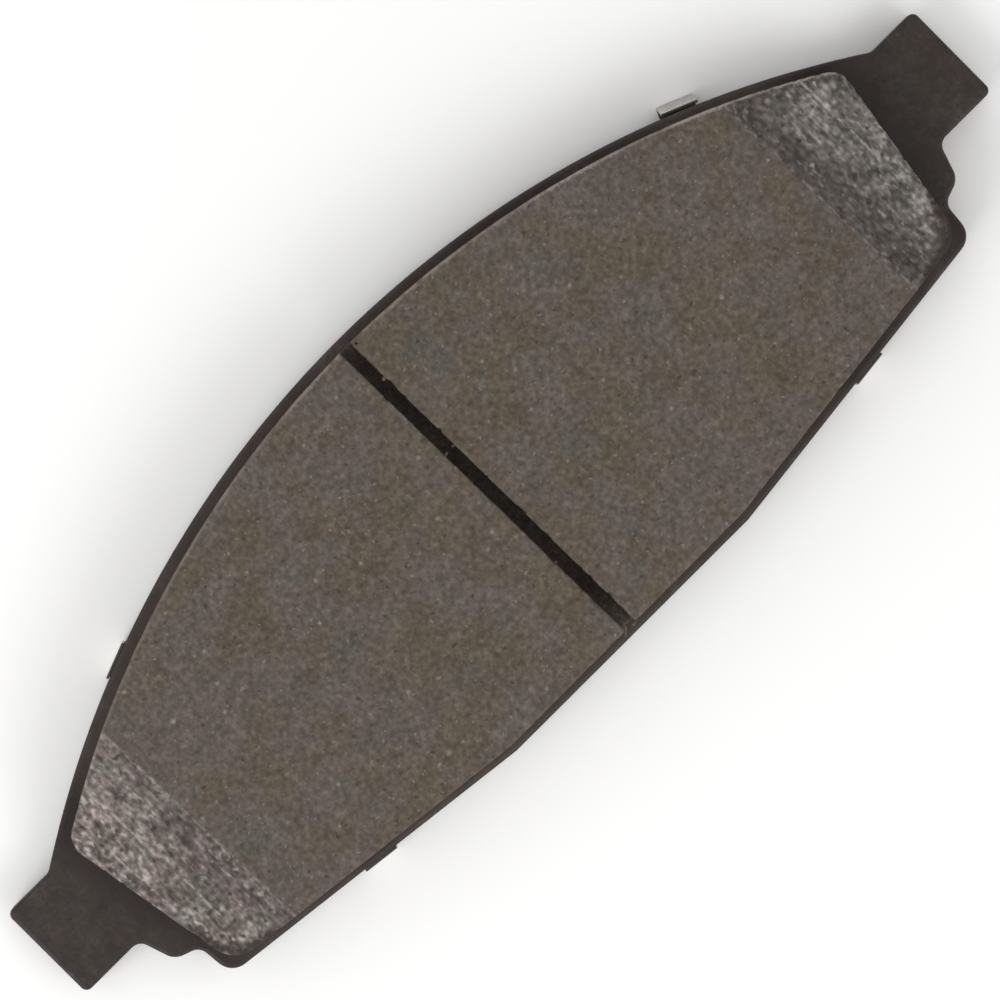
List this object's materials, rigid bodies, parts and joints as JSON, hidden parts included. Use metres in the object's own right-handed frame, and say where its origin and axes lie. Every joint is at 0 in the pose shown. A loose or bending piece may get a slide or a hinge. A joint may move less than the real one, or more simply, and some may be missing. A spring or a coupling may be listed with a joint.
{
  "type": "brake pad",
  "caption": "Disc brake pad: eared steel backing plate, slotted and end-chamfered friction lining, clip-on laminated noise shim.",
  "frame": {"origin": "middle of the pad's bounding box, at the outer face of the shim", "axes": "+X along the pad from ear to ear, +Y towards the crown (away from the wheel's axle), +Z from the shim towards the disc"},
  "size_m": [0.172, 0.0562, 0.0166],
  "materials": {
    "plate_paint": "satin",
    "bond_film": "matte",
    "underlayer": "matte",
    "friction": "matte",
    "shim_glue": "satin",
    "shim_rubber": "matte",
    "inner_shim_steel": "satin",
    "cover_shim_steel": "satin"
  },
  "bodies": {
    "root": {"backing_plate": "plate_paint", "bonding_adhesive": "bond_film", "underlayer": "underlayer", "friction_block_left": "friction", "friction_block_right": "friction", "shim_adhesive": "shim_glue", "inner_rubber": "shim_rubber", "inner_shim": "inner_shim_steel", "cover_rubber": "shim_rubber", "cover_shim": "cover_shim_steel"}
  },
  "joints": []
}
